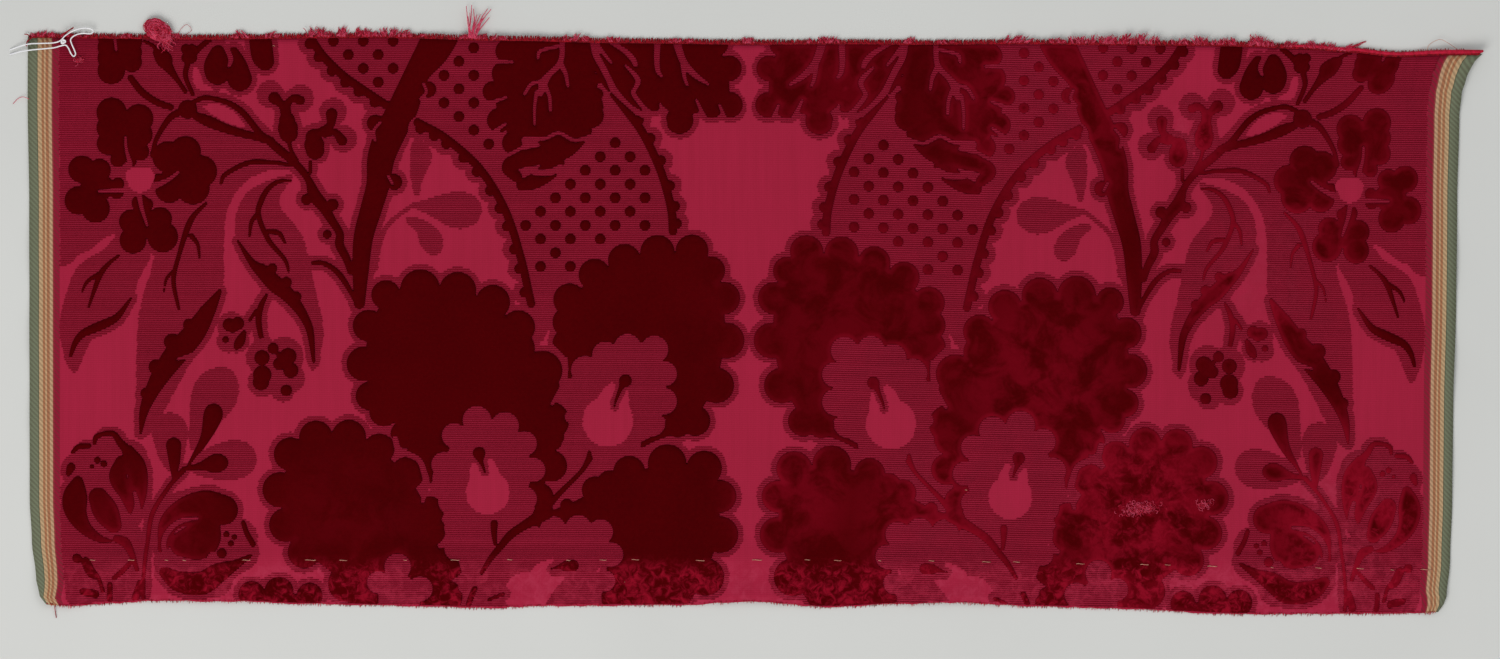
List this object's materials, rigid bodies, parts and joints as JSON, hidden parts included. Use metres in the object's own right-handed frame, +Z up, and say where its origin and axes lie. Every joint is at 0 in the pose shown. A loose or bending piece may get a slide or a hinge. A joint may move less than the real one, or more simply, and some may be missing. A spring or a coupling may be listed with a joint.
{
  "type": "silk velvet fragment",
  "caption": "Flat, unframed fragment of crimson figured silk velvet with a mirrored flower design, striped selvedges, a frayed top cut and an old hem crease.",
  "frame": {"origin": "middle of the cloth, on its flat underside", "axes": "+X across the loom width to the right selvedge, +Y along the warp to the frayed cut, +Z up out of the pile"},
  "size_m": [0.5585, 0.2309, 0.0047],
  "materials": {
    "crimson_velvet": "silk velvet: flat crimson ground, ribbed uncut loops and deep cut pile",
    "frayed_silk": "loose crimson and pink silk filament",
    "white_thread": "matt white sewing thread"
  },
  "bodies": {
    "root": {"velvet_cloth": "crimson_velvet", "frayed_cut": "frayed_silk", "white_thread": "white_thread"}
  },
  "joints": []
}
